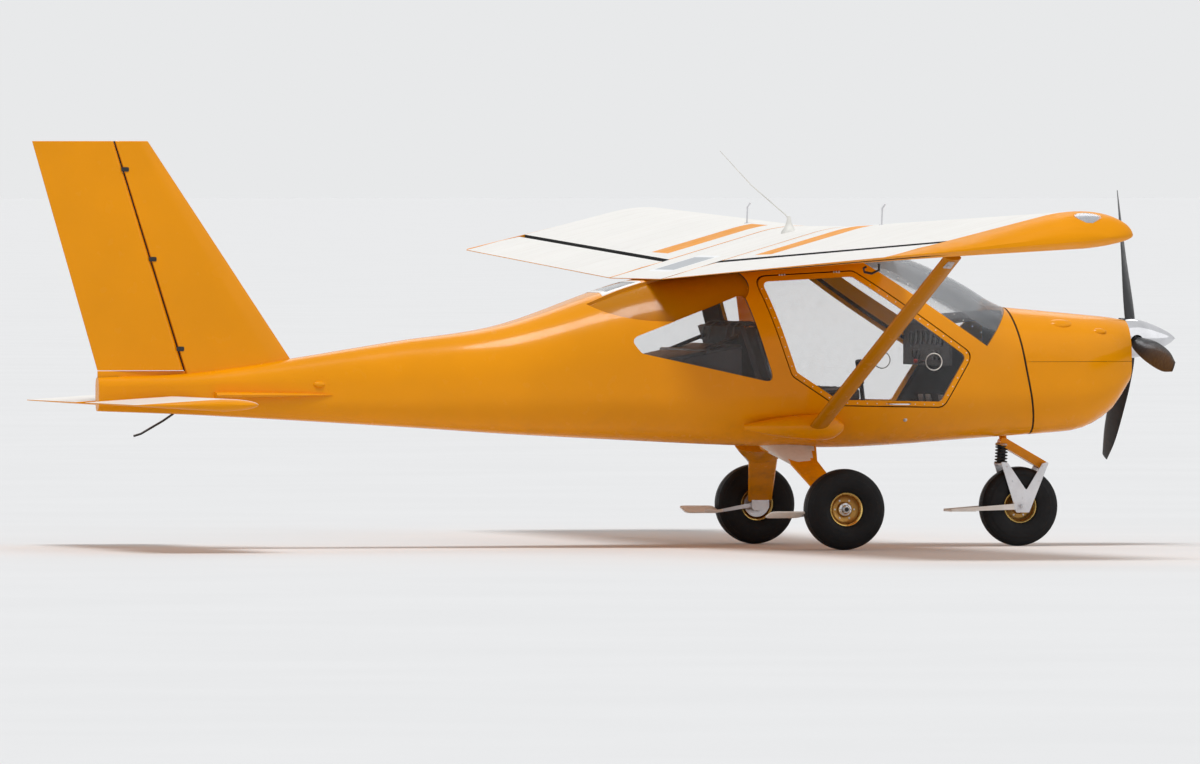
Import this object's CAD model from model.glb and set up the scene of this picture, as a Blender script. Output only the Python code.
from math import cos, hypot, pi, radians, sin, sqrt

import bmesh
import bpy
from mathutils import Matrix, Vector


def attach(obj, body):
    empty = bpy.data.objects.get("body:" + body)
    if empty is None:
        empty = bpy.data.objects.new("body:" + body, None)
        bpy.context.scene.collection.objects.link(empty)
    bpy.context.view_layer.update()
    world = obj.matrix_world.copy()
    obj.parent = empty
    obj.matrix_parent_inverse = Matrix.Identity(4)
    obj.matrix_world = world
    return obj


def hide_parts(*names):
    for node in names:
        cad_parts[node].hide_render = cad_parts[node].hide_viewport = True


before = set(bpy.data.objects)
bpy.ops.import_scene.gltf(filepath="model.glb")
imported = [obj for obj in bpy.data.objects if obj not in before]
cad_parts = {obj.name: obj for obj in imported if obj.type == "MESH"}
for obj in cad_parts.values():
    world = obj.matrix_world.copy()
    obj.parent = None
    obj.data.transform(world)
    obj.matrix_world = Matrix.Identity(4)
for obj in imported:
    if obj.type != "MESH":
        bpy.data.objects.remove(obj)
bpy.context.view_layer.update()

bl_info = {
    "name": "Strut-braced ultralight",
    "version": (1, 0, 0),
    "blender": (4, 5, 0),
    "location": "3D View > Sidebar > Ultralight",
    "description": "Dresses a two-seat high-wing ultralight aircraft, piece by piece",
    "category": "Object",
}

# Everything is in metres: x forward, y to port and z up from the ground

# Fuselage sections: x, half width, bottom, top, foot and head of the flat side, and half widths
# of the flat floor and the flat roof
HULL = [
    (-2.820, 0.042, 0.744, 0.925, 0.800, 0.870, 0.008, 0.008),
    (-2.262, 0.092, 0.721, 0.952, 0.800, 0.880, 0.018, 0.018),
    (-1.154, 0.190, 0.655, 1.117, 0.820, 0.900, 0.045, 0.045),
    (-0.598, 0.270, 0.617, 1.201, 0.840, 0.930, 0.070, 0.070),
    (0.060, 0.430, 0.581, 1.418, 0.840, 1.010, 0.130, 0.140),
    (0.574, 0.545, 0.556, 1.516, 0.840, 1.090, 0.220, 0.250),
    (1.156, 0.585, 0.541, 1.590, 0.840, 1.110, 0.250, 0.320),
    (1.475, 0.572, 0.552, 1.590, 0.840, 1.110, 0.250, 0.320),
    (1.858, 0.492, 0.578, 1.450, 0.850, 1.080, 0.220, 0.220),
    (2.165, 0.412, 0.598, 1.291, 0.860, 1.030, 0.170, 0.150),
    (2.400, 0.400, 0.614, 1.272, 0.860, 1.020, 0.165, 0.150),
]
# Cowling sections, in the same columns
COWL = [
    (2.140, 0.416, 0.596, 1.296, 0.860, 1.032, 0.172, 0.152),
    (2.400, 0.400, 0.614, 1.272, 0.860, 1.020, 0.165, 0.150),
    (2.600, 0.376, 0.640, 1.254, 0.870, 1.020, 0.150, 0.140),
    (2.765, 0.325, 0.735, 1.238, 0.900, 1.030, 0.120, 0.120),
    (2.858, 0.265, 0.868, 1.222, 0.960, 1.040, 0.095, 0.100),
]
BEND_STEPS = 12             # flats in each rounded corner of a section
OVAL_STEPS = 23             # flats round an oval, but for the one that closes it
SECTION_STEP = 0.06         # between the sections that the tables are smoothed to
CABIN_WALL = 0.022          # thickness, as the next two are
COWL_WALL = 0.010
GLASS = 0.005
CABIN_REAR = -0.56          # rear end of the hollow inside
FIREWALL_TOP = (2.160, 1.290)
FIREWALL_BOTTOM = (2.300, 0.600)
COWL_SPLIT_Z = 1.000

# Outlines in side view, x and z
DOOR = [(0.696, 1.460), (0.880, 0.930), (1.120, 0.772), (1.736, 0.760), (1.906, 1.040), (1.236, 1.490)]
DOOR_FRAME = 0.028
DOOR_CORNER = 0.060
RIVET_TOP = 1.42            # no rivets higher on the door, where it lies against the wing
FLUSH_Z = 1.30              # above it rivets are flush, to pass under the wing
WINDSHIELD = [(1.996, 1.085), (2.150, 1.288), (2.150, 1.800), (1.290, 1.800), (1.290, 1.545)]
REAR_WINDOW = [(0.021, 1.127), (0.631, 1.370), (0.786, 0.890), (0.081, 1.050)]
REAR_WINDOW_CORNER = 0.038
# Shaded oval recess of the upper side under the wing's trailing edge
RECESS_AT = (0.215, 1.410)
RECESS_SIZE = (0.450, 0.188)
RECESS_SIDE = (0.21, 0.90)  # from and to across the aircraft
RECESS_DEPTH = 0.016
SKYLIGHT = [(-0.060, 1.300), (-0.060, 1.700), (0.110, 1.700), (0.110, 1.300)]
SKYLIGHT_WIDTH = 0.180

# Wing: its leading edge as x and z at the root and at the panel's end
SPAN = 9.450
CHORD = 1.330
ROOT_Y = 0.550
PANEL_END_Y = 4.500
ROOT_EDGE = (1.476, 1.617)
TIP_EDGE = (1.661, 1.698)
INCIDENCE = (7.25, 4.93)    # at the root and at the panel's end, in degrees
TRAILING_EDGE = 0.004       # thickness
# Places along the section and heights there, as shares of the chord
CREST, CREST_HEIGHT = 0.25, 0.114
SHOULDER, SHOULDER_HEIGHT = 0.37, 0.1031
BELLY, BELLY_DEPTH = 0.20, 0.035
PANEL_REAR = 0.7429
FLAP_HINGE = (0.77, 0.0142)
FLAP_NOSE = 0.030           # radius
FLAP_ENDS = (0.560, 4.490)
ROOF_PANEL = (0.285, 0.570, 0.240)  # the grey panel in the wing's middle: rear, front and half width
# Tip cap: share of the way out, then chord and thickness as shares of the panel's
TIP_SHAPE = [(0.0, 1.0, 1.0), (0.55, 0.94, 0.86), (0.87, 0.80, 0.52), (1.0, 0.66, 0.16)]
# Orange stripes on the white top: from and to across the span, then from and to along the aircraft
WING_BANDS = [(0.93, 1.28, 0.575, 1.14), (-1.28, -0.93, 0.575, 1.14),
              (0.556, 0.590, -1, 2), (-0.590, -0.556, -1, 2)]
WING_SEAMS = [0.552, -0.552]
RIB_STEP = 0.33
LAMP_X = 1.385              # the furthest forward that the tip lamps' middle goes
TANK_VENT = (1.147, 1.416)  # x and y
ANTENNA_X = 1.010

# Lift strut, and the fairing round its foot as x, half height and half width
STRUT_FOOT = (1.008, 0.576, 0.640)
STRUT_TOP = (1.314, 2.200, 1.560)
STRUT_SIZE = (0.050, 0.018)
FOOT_FAIRING = [(0.616, 0.014, 0.012), (0.800, 0.050, 0.056), (1.000, 0.070, 0.076),
                (1.110, 0.062, 0.070), (1.160, 0.024, 0.044)]
FOOT_AT = (0.545, 0.655)    # the fairing's y and z

# Tail: edges in side view, and half thicknesses at the rudder's foot and top
FIN_EDGE = [(-1.769, 1.040), (-2.521, 2.159)]
FIN_FOOT = 0.905
FIN_TOP = 2.190
RUDDER_HINGE = [(-2.365, 0.925), (-2.752, 2.190)]
RUDDER_REAR = [(-2.7714, 0.8007), (-3.1422, 2.0707)]
RUDDER_BOTTOM = 0.962
RUDDER_NOSE = (0.030, 0.020)
FIN_HALF = (0.042, 0.026)
TAIL_EDGE_X = -2.239
TAIL_CHORD = 0.674
TAIL_Z = 0.790
TAIL_HALF = 0.033
TAIL_ROOT_Y = 0.112
TAIL_TIP_Y = 1.375
TAIL_CAP = 0.090
STRAKE_Z = 0.830
COVER_AT = (-1.630, 0.885)  # the small cover on each side of the cone

# Propeller blade: radius, chord, thickness and angle to the disc
BLADE = [(0.060, 0.062, 0.050, 62), (0.190, 0.096, 0.028, 48), (0.420, 0.122, 0.018, 30),
         (0.690, 0.112, 0.012, 20), (0.846, 0.054, 0.005, 16)]
BLADES = 3
BLADE_X = 2.932
BLADE_LEAN = 20             # of the first blade from upright, in degrees
PROP_Z = 1.122
# Spinner: x and radius
SPINNER = [(2.866, 0.110), (2.900, 0.110), (2.960, 0.103), (3.030, 0.082), (3.100, 0.052),
           (3.150, 0.024), (3.176, 0)]

# Wheels
AXLE_X = 1.066
WHEEL_Y = 0.9425
WHEEL_RADIUS = 0.2175
TYRE_WIDTH = 0.150
NOSE_X = 2.293
NOSE_RADIUS = 0.215
NOSE_TYRE_WIDTH = 0.125
RIM_RADIUS = 0.084
RIM_DISH = 0.0765           # radius of the rims' darker dish
# A tyre's side from the bead out, as shares of its half width and of its depth
SIDEWALL = [(0.70, 0.062), (0.80, 0.075), (0.86, 0.10), (0.875, 0.125), (0.885, 0.12), (0.955, 0.24),
            (0.966, 0.27), (0.974, 0.26), (0.996, 0.40), (1.0, 0.46), (0.985, 0.58), (0.972, 0.64),
            (0.960, 0.645), (0.935, 0.72), (0.90, 0.79), (0.888, 0.79), (0.85, 0.845), (0.80, 0.885),
            (0.786, 0.882), (0.73, 0.925)]
GROOVES = [(0.60, 0.970), (0.40, 0.985), (0.20, 0.996)]
BEAD = (0.66, 0.0855)
# A rim's barrel and web, its hub and its brake disc: along the axle, and radius
RIM = [(0.044, 0.084), (0.046, 0.0915), (0.052, 0.0915), (0.0545, 0.088), (0.051, 0.083), (0.046, 0.079),
       (0.022, 0.076), (0.012, 0.068), (0.009, 0.060), (0.009, 0.042), (0.020, 0.037), (0.024, 0.033)]
HUB = [(0.018, 0.0365), (0.027, 0.0365), (0.030, 0.034), (0.031, 0.024), (0.040, 0.022), (0.044, 0.018)]
DISC = [(-0.044, 0.036), (-0.044, 0.070), (-0.0485, 0.070), (-0.0485, 0.036)]

# Cabin: the seat pads' outlines in side view, their middle's y and half width
SEAT_CUSHION = [(1.320, 0.792), (1.310, 0.870), (0.840, 0.815), (0.800, 0.731)]
SEAT_BACK = [(0.800, 0.734), (0.838, 0.818), (0.716, 1.210), (0.642, 1.200)]
SEAT_Y = 0.250
SEAT_HALF = 0.180
PAD_INSET = 0.010           # how much smaller a pad is before it swells
PAD_CAP = 0.012             # the furthest that the air may push its cloth out
CLOTH_GRID = 0.006
CLOTH_PRESSURE = 4
CLOTH_FRAMES = 20
# Shoulder and lap belts as x, z and as x, y, z
SHOULDER_BELT = [(0.606, 1.120), (0.622, 1.196), (0.648, 1.214), (0.700, 1.222), (0.728, 1.212),
                 (0.762, 1.098), (0.802, 0.968), (0.844, 0.832), (0.862, 0.826)]
LAP_BELT = [(0.842, -0.196, 0.745), (0.850, -0.190, 0.800), (0.868, -0.165, 0.829),
            (0.900, -0.080, 0.836), (0.915, 0.0, 0.838), (0.900, 0.080, 0.836),
            (0.868, 0.165, 0.829), (0.850, 0.190, 0.800), (0.842, 0.196, 0.745)]
# Tops of the glareshield and the baggage bin in side view
DECK = [(1.768, 1.223), (1.84, 1.232), (1.92, 1.240), (2.00, 1.247), (2.08, 1.252), (2.12, 1.254)]
BIN_TOP = [(0.080, 0.985), (0.10, 0.995), (0.22, 1.022), (0.36, 1.052), (0.50, 1.080), (0.60, 1.100),
           (0.618, 1.092)]
# The stick's grip and boot: along the stick, and radius
GRIP = [(-0.125, 0.0125), (-0.118, 0.017), (-0.09, 0.0185), (-0.06, 0.0165), (-0.03, 0.018),
        (0.0, 0.0195), (0.010, 0.015), (0.013, 0)]
BOOT = [(0.004, 0.060), (0.012, 0.052), (0.022, 0.054), (0.032, 0.038), (0.042, 0.040),
        (0.056, 0.024), (0.070, 0.0125)]
# The instrument panel's rear face, and its dials as y, z and radius
PANEL_X = 1.780
DIALS = [(-0.30, 1.12, 0.040), (-0.20, 1.13, 0.040), (-0.10, 1.13, 0.040), (0.0, 1.13, 0.040),
         (0.10, 1.13, 0.040), (0.20, 1.13, 0.040), (0.30, 1.12, 0.040), (-0.25, 1.035, 0.028),
         (-0.16, 1.035, 0.028), (0.16, 1.035, 0.028), (0.25, 1.035, 0.028)]

# Half the floor's size, and where the view looks, how far down in degrees and which way
FLOOR_REACH = 900
VIEW_MIDDLE = (-0.042, 0, 0.893)
VIEW_DOWN = 0.61
VIEW_WAY = (0.2472, 0.9688)

FORWARD, AFT, PORT, UP = (1, 0, 0), (-1, 0, 0), (0, 1, 0), (0, 0, 1)
SIDES = (("left", 1), ("right", -1))


def linear(red, green, blue):
    """The scene colour of an 8-bit display colour."""
    return tuple(
        (value / 255 / 12.92 if value <= 10 else ((value / 255 + 0.055) / 1.055) ** 2.4)
        for value in (red, green, blue)
    )


BACKDROP = linear(232, 233, 234)
ALLOY = (0.62, 0.62, 0.64)


def blend(first, last, share):
    """The value that share of the way between two."""
    return first + (last - first) * share


def evenly(first, last, steps):
    """Values at even steps from the first to the last."""
    return [blend(first, last, step / steps) for step in range(steps + 1)]


def on_line(line, share):
    """The place that share of the way along a line in side view."""
    return [blend(first, last, share) for first, last in zip(*line)]


def smoothed(rows, step=SECTION_STEP):
    """The rows of a section table at an even step, along smooth curves through them."""
    count = len(rows)
    slopes = []
    for i in range(count):
        low, high = rows[max(i - 1, 0)], rows[min(i + 1, count - 1)]
        slopes.append([(b - a) / (high[0] - low[0]) for a, b in zip(low, high)])
    dense = []
    for i in range(count - 1):
        a, b = rows[i], rows[i + 1]
        run = b[0] - a[0]
        parts = max(1, round(run / step))
        for part in range(parts + (i == count - 2)):
            t = part / parts
            h = (2 * t**3 - 3 * t**2 + 1, t**3 - 2 * t**2 + t, 3 * t**2 - 2 * t**3, t**3 - t**2)
            dense.append([
                h[0] * p + h[1] * run * m + h[2] * q + h[3] * run * n
                for p, q, m, n in zip(a, b, slopes[i], slopes[i + 1])
            ])
    return dense


def bow(centre, width, height, start, end, steps):
    """Points along an ellipse from one angle to another, in degrees."""
    turns = [radians(angle) for angle in evenly(start, end, steps)]
    return [(centre[0] + width * cos(turn), centre[1] + height * sin(turn)) for turn in turns]


def oval(width, height):
    """The outline of an ellipse about the origin."""
    return bow((0, 0), width, height, 0, 345, OVAL_STEPS)


def around(side, other, count):
    """Directions at an even step round a circle, from the side towards the other."""
    return [side * cos(turn) + other * sin(turn) for turn in (2 * pi * i / count for i in range(count))]


def oblong(left, low, right, high, corner=0.0):
    """The outline of an upright box, with its corners square or rounded."""
    box = [(left, low), (right, low), (right, high), (left, high)]
    return rounded(box, corner) if corner else box


def section(row, inset):
    """A ring round the fuselage, moved in by the inset."""
    x, width, bottom, top, low, high, floor, roof = row
    side, base, crown = width - inset, bottom + inset, top - inset
    half = bow((floor, low), side - floor, low - base, -90, 0, BEND_STEPS)
    half += bow((roof, high), side - roof, crown - high, 0, 90, BEND_STEPS)
    half += [(-y, z) for y, z in reversed(half)]
    return [Vector((x, y, z)) for y, z in half]


def lofted(rings, closed=False):
    """Points and faces of a skin over rings of equal length, capped or closed end to end."""
    size, count = len(rings[0]), len(rings)
    points = [point for ring in rings for point in ring]
    faces = []
    for row in range(count if closed else count - 1):
        low, high = row * size, (row + 1) % count * size
        for i in range(size):
            j = (i + 1) % size
            faces.append((low + i, low + j, high + j, high + i))
    if not closed:
        faces.append(tuple(reversed(range(size))))
        faces.append(tuple(range((count - 1) * size, count * size)))
    return points, faces


def lathe(profile, origin, axis, sides=32, closed=False):
    """Turns a profile of (along, radius) points about an axis, as a solid or a closed ring."""
    axis = Vector(axis).normalized()
    side = axis.orthogonal().normalized()
    spokes = around(side, axis.cross(side), sides)
    return lofted([
        [Vector(origin) + axis * along + spoke * max(radius, 1e-5) for spoke in spokes]
        for along, radius in profile
    ], closed)


def sweep(path, radius, sides=12, taper=None):
    """A round bar along a path of points."""
    path = [Vector(point) for point in path]
    rings = []
    side = None
    for i, point in enumerate(path):
        along = (path[min(i + 1, len(path) - 1)] - path[max(i - 1, 0)]).normalized()
        if side is None:
            side = along.orthogonal().normalized()
        side = (side - along * side.dot(along)).normalized()
        size = radius * (taper[i] if taper else 1)
        rings.append([point + spoke * size for spoke in around(side, along.cross(side), sides)])
    return lofted(rings)


def slab(outline, origin, across, up, thick):
    """A plate: its outline in the plane of two directions, and its thickness along the third."""
    across, up = Vector(across).normalized(), Vector(up).normalized()
    normal = across.cross(up)
    return lofted([
        [Vector(origin) + across * u + up * v + normal * depth for u, v in outline]
        for depth in (0, thick)
    ])


def upright(outline, half):
    """A plate standing fore and aft, that far out on each side, its outline in side view."""
    return slab(outline, (0, half, 0), FORWARD, UP, 2 * half)


def rounded(points, radius, steps=6):
    """The outline with each corner rounded."""
    path = []
    count = len(points)
    for i in range(count):
        before, corner, after = (Vector(points[k]) for k in ((i - 1) % count, i, (i + 1) % count))
        a, b = (before - corner).normalized(), (after - corner).normalized()
        half = a.angle(b) / 2
        reach = radius / max(sin(half) / cos(half), 1e-6)
        start, end = corner + a * reach, corner + b * reach
        for step in range(steps + 1):
            t = step / steps
            path.append(tuple(start * (1 - t) ** 2 + corner * 2 * t * (1 - t) + end * t**2))
    return path


def grown(points, amount):
    """The outline moved out by the amount, or in where it is negative."""
    count = len(points)
    area = sum(points[i - 1][0] * points[i][1] - points[i][0] * points[i - 1][1] for i in range(count))
    turn = 1 if area > 0 else -1
    moved = []
    for i in range(count):
        before, corner, after = (Vector(points[k]) for k in ((i - 1) % count, i, (i + 1) % count))
        first, second = (corner - before).normalized(), (after - corner).normalized()
        normals = [Vector((edge.y, -edge.x)) * turn for edge in (first, second)]
        shift = normals[0] + normals[1]
        moved.append(tuple(corner + shift * (amount / (1 + normals[0].dot(normals[1])))))
    return moved


def through(outline):
    """A cutter across the whole cabin, its outline in side view."""
    return upright(outline, 0.9)


def strap(path, across, width, thick=0.0025):
    """A flat belt along a path, its width along one direction."""
    path = [Vector(point) for point in path]
    wide = Vector(across).normalized() * (width / 2)
    rings = []
    for i, point in enumerate(path):
        along = path[min(i + 1, len(path) - 1)] - path[max(i - 1, 0)]
        lift = wide.cross(along).normalized() * (thick / 2)
        rings.append([point + wide + lift, point - wide + lift, point - wide - lift, point + wide - lift])
    return lofted(rings)


def blister(at, facing, long, wide, high):
    """A low oval swelling on the skin, longest fore and aft."""
    along = (Vector(FORWARD) - facing * facing.x).normalized()
    spokes = around(along * long, facing.cross(along) * wide, 32)
    shape = ((1.06, -0.3), (1.0, 0.06), (0.9, 0.30), (0.72, 0.62), (0.45, 0.90), (0.15, 1.0))
    return lofted([[at + spoke * share + facing * high * rise for spoke in spokes] for share, rise in shape])


def dome(at, facing, radius, height, sides=8):
    """A low round head, such as a rivet's."""
    profile = [(-0.001, radius), (height * 0.35, radius), (height * 0.8, radius * 0.7), (height, 0)]
    return lathe(profile, at, facing, sides)


def bolt(at, facing, radius, height):
    """A six-sided bolt head on its washer."""
    wide, low = radius * 1.35, height * 0.25
    washer = lathe([(-0.001, wide), (low, wide), (low, 0)], at, facing, 20)
    head = lathe([(0, radius), (height * 0.85, radius), (height, radius * 0.86), (height, 0)], at, facing, 6)
    return joined([washer, head])


def joined(shapes):
    """Several shapes as one."""
    points, faces = [], []
    for shape in shapes:
        start = len(points)
        points += shape[0]
        faces += [tuple(i + start for i in face) for face in shape[1]]
    return points, faces


def moved(shape, move):
    """The shape after a move or a turn."""
    return [move @ point for point in shape[0]], shape[1]


def flipped(shape):
    """The shape's mirror image on the other side of the aircraft."""
    points, faces = shape
    return [Vector((p.x, -p.y, p.z)) for p in points], [tuple(reversed(face)) for face in faces]


def parted(shape, inside):
    """The faces of a shape whose number and middle pass a test, and the rest, as two shapes."""
    points, faces = shape
    chosen, rest = [], []
    for number, face in enumerate(faces):
        middle = sum((Vector(points[i]) for i in face), Vector()) / len(face)
        (chosen if inside(number, middle) else rest).append(face)
    return (points, chosen), (points, rest)


def picked(shape, size, first, last):
    """The faces of a loft between two places round its rings, and the rest, as two shapes."""
    count = len(shape[1]) - 2
    return parted(shape, lambda number, middle: number < count and (number - first) % size < last - first)


def along_outline(points, step, closed=True):
    """Places at an even step along an outline."""
    count = len(points)
    places, left = [], 0.0
    for i in range(count if closed else count - 1):
        a, b = Vector(points[i]), Vector(points[(i + 1) % count])
        run = (b - a).length
        at = left
        while at < run:
            places.append(tuple(a.lerp(b, at / run)))
            at += step
        left = at - run
    return places


def hull_shape(rows, inset, start):
    """The closed skin over a section table's rows ahead of a place, moved in by the inset."""
    dense = [row for row in smoothed(rows) if start + 1e-4 < row[0]]
    first = [row for row in smoothed(rows, 0.002) if row[0] >= start][:1]
    return lofted([section(row, inset) for row in first + dense])


def skin_point(x, z, proud=0.0, table=None):
    """The port skin at that place in side view, moved out by proud, and the way it faces."""
    rows = smoothed(table or HULL)
    index = max(i for i in range(len(rows) - 1) if rows[i][0] <= x)
    share = (x - rows[index][0]) / (rows[index + 1][0] - rows[index][0])
    _, width, bottom, top, low, high, floor, roof = (
        blend(a, b, share) for a, b in zip(rows[index], rows[index + 1]))
    y, facing = width, Vector(PORT)
    for edge, limit, flat in ((high, top, roof), (low, bottom, floor)):
        drop = (z - edge) / (limit - edge)
        if drop > 0:
            y = flat + (width - flat) * sqrt(max(0, 1 - drop**2))
            facing = Vector((0, (y - flat) / (width - flat) ** 2, (z - edge) / (limit - edge) ** 2))
    facing = facing.normalized()
    return Vector((x, y, z)) + facing * proud, facing


def wing_at(y, along, up):
    """The point of the port wing that far aft along its chord and up from it."""
    share = (y - ROOT_Y) / (PANEL_END_Y - ROOT_Y)
    tilt = radians(blend(*INCIDENCE, share))
    x, z = on_line((ROOT_EDGE, TIP_EDGE), share)
    return Vector((x - along * cos(tilt) - up * sin(tilt), y, z - along * sin(tilt) + up * cos(tilt)))


def wing_crown(at, deep):
    """The height of a wing section's top at a share of its chord."""
    if at > SHOULDER:
        return blend(SHOULDER_HEIGHT * deep, TRAILING_EDGE / 2, (at - SHOULDER) / (1 - SHOULDER))
    fall = (CREST_HEIGHT - SHOULDER_HEIGHT) * ((at - CREST) / (SHOULDER - CREST)) ** 2
    return (CREST_HEIGHT - fall) * deep


def wing_ring(y, end, chord_share=1.0, thick_share=1.0, shift=0.0):
    """A wing section, cut off square at that share of the chord."""
    chord, deep = CHORD * chord_share, CHORD * thick_share
    belly = BELLY_DEPTH * deep
    points = bow((BELLY * chord, 0), BELLY * chord, belly, 270, 180, 10)[:-1]
    points += bow((CREST * chord, 0), CREST * chord, CREST_HEIGHT * deep, 180, 90, 14)
    points += [(at * chord, wing_crown(at, deep))
               for at in (0.28, 0.31, 0.34, 0.37, 0.42, 0.50, 0.60, 0.70, end)]
    points += [(at * chord, blend(-belly, -TRAILING_EDGE / 2, (at - BELLY) / (1 - BELLY)))
               for at in (end, 0.70, 0.50, 0.32)]
    return [wing_at(y, along + shift, up) for along, up in points]


def wing_top(x, y):
    """The height of the wing's top above a place, found by stepping back along the chord."""
    port = max(y, ROOT_Y)
    along = wing_at(port, 0, 0).x - x
    return wing_at(port, along, wing_crown(along / CHORD, CHORD)).z


def highest(ring, x):
    """The highest point of a ring at that x."""
    found = []
    for a, b in zip(ring, ring[1:] + ring[:1]):
        if a.x != b.x and min(a.x, b.x) <= x <= max(a.x, b.x):
            found.append(a.lerp(b, (x - a.x) / (b.x - a.x)))
    return max(found, key=lambda point: point.z)


def mesh_of(parts, name="shape"):
    """One mesh from (shape, finish) parts."""
    mesh = bpy.data.meshes.new(name)
    points, faces = joined(shape for shape, _ in parts)
    looks = list(dict.fromkeys(look for _, look in parts))
    mesh.from_pydata([tuple(p) for p in points], [], faces)
    for look in looks:
        mesh.materials.append(finish[look] if look else None)
    slots = [looks.index(look) for shape, look in parts for _ in shape[1]]
    mesh.polygons.foreach_set("material_index", slots)
    build = bmesh.new()
    build.from_mesh(mesh)
    bmesh.ops.recalc_face_normals(build, faces=build.faces)
    build.to_mesh(mesh)
    build.free()
    return mesh


def plain(shape):
    """A mesh of one shape, still without a finish."""
    return mesh_of([(shape, None)])


def hull_mesh(rows, inset, start):
    """The same skin as a mesh."""
    return plain(hull_shape(rows, inset, start))


def link(name, data):
    """An object of the scene for a mesh, a lamp or a camera."""
    thing = bpy.data.objects.new(name, data)
    bpy.context.scene.collection.objects.link(thing)
    return thing


def changed(thing):
    """The mesh of an object after its modifiers."""
    return bpy.data.meshes.new_from_object(thing.evaluated_get(bpy.context.evaluated_depsgraph_get()))


def carved(mesh, cutters, operation="DIFFERENCE"):
    """The mesh after each cutter is taken from it, or kept inside it."""
    for cutter in cutters:
        body = link("carve", mesh)
        tool = link("tool", plain(cutter) if isinstance(cutter, tuple) else cutter)
        change = body.modifiers.new("carve", "BOOLEAN")
        change.operation = operation
        change.solver = "EXACT"
        change.object = tool
        mesh = changed(body)
        for thing in (body, tool):
            bpy.data.objects.remove(thing)
    return mesh


def puffed(mesh, rests, middle_y):
    """The pad swollen by air inside its cloth, and flat where it rests on the line between two places."""
    piece = link("pad", mesh)
    grid = piece.modifiers.new("grid", "REMESH")
    grid.mode = "VOXEL"
    grid.voxel_size = CLOTH_GRID
    piece.data = changed(piece)
    piece.modifiers.clear()
    start = [vertex.co.copy() for vertex in piece.data.vertices]
    made = piece.data
    skin = piece.modifiers.new("skin", "CLOTH")
    skin.settings.use_pressure = True
    skin.settings.uniform_pressure_force = CLOTH_PRESSURE
    skin.settings.effector_weights.gravity = 0
    for step in range(1, CLOTH_FRAMES + 1):
        bpy.context.scene.frame_set(step)
    made = changed(piece)
    bpy.context.scene.frame_set(1)
    foot, head = (Vector((x, middle_y, z)) for x, z in rests)
    along = (head - foot).normalized()
    outward = Vector((along.z, 0, -along.x))
    if (start[0] - foot).dot(outward) > 0:
        outward = -outward
    for vertex, at in zip(made.vertices, start):
        move = vertex.co - at
        if move.length > PAD_CAP:
            vertex.co = at + move * (PAD_CAP / move.length)
        beyond = (vertex.co - foot).dot(outward)
        if beyond > 0:
            vertex.co -= outward * beyond
    bpy.data.objects.remove(piece)
    return made


def settle(name, mesh, body, replaces, angle):
    """Makes a finished mesh a piece that rides on a body, with edges sharper than the angle kept."""
    mesh.name = name
    mesh.shade_smooth()
    mesh.set_sharp_from_angle(angle=radians(angle))
    piece = link(name, mesh)
    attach(piece, body)
    if replaces:
        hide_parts(*replaces)
    return piece


def add(name, parts, body, slot=None, bevel=0.0, angle=32, replaces=()):
    """A piece of the aircraft from its (shape, finish) parts."""
    piece = settle(name, mesh_of(parts, name), body, replaces, angle)
    if bevel:
        edge = piece.modifiers.new("edges", "BEVEL")
        edge.width = bevel
        edge.segments = 2
        edge.limit_method = "ANGLE"
        edge.angle_limit = radians(40)
    return piece


def twins(name, parts, body, slot=None, replaces=(), **options):
    """A port piece and its mirror image; {} stands for the side in names."""
    for side, sign in SIDES:
        own = parts if sign > 0 else [(flipped(shape), look) for shape, look in parts]
        add(f"{name}_{side}", own, body.format(side), slot,
            replaces=[key.format(side) for key in replaces], **options)


def place(mesh, name, look, body, replaces=(), angle=32, zones=()):
    """A piece from a mesh; zones are (finish, test of a face's centre and normal)."""
    mesh.materials.clear()
    mesh.materials.append(finish[look])
    for index, (look, inside) in enumerate(zones):
        mesh.materials.append(finish[look])
        for face in mesh.polygons:
            if inside(face.center, face.normal):
                face.material_index = index + 1
    return settle(name, mesh, body, replaces, angle)


def shader(name, colour, rough, **sockets):
    """A material with one shader; returns it with its nodes, ready for more detail."""
    material = bpy.data.materials.new(name)
    material.use_nodes = True
    tree = material.node_tree
    surface = tree.nodes["Principled BSDF"]
    surface.inputs["Base Color"].default_value = (*colour, 1)
    surface.inputs["Roughness"].default_value = rough
    for socket, value in sockets.items():
        surface.inputs[socket.replace("_", " ")].default_value = value
    return material, tree, surface


def node(tree, kind, inputs=(), **settings):
    """A node with its settings, and its inputs linked or filled in."""
    made = tree.nodes.new(kind)
    for key, value in settings.items():
        setattr(made, key, value)
    for key, value in dict(inputs).items():
        if hasattr(value, "is_output"):
            tree.links.new(value, made.inputs[key])
        else:
            made.inputs[key].default_value = value
    return made


def feed(surface, socket, value):
    """Drives a socket of the shader from another node."""
    surface.id_data.links.new(value, surface.inputs[socket])


def position(tree):
    return node(tree, "ShaderNodeTexCoord").outputs["Object"]


def apart(tree, vector):
    """The X, Y and Z of a vector, by name."""
    return node(tree, "ShaderNodeSeparateXYZ", {"Vector": vector}).outputs


def drawn_out(tree, scale):
    """The position stretched by a scale along each axis."""
    return node(tree, "ShaderNodeMapping", {"Vector": position(tree), "Scale": scale}).outputs["Vector"]


def noise(tree, scale, detail=3.0, where=None, rough=0.5):
    made = node(tree, "ShaderNodeTexNoise", {"Scale": scale, "Detail": detail, "Roughness": rough})
    tree.links.new(where or position(tree), made.inputs["Vector"])
    return made.outputs["Fac"]


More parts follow.
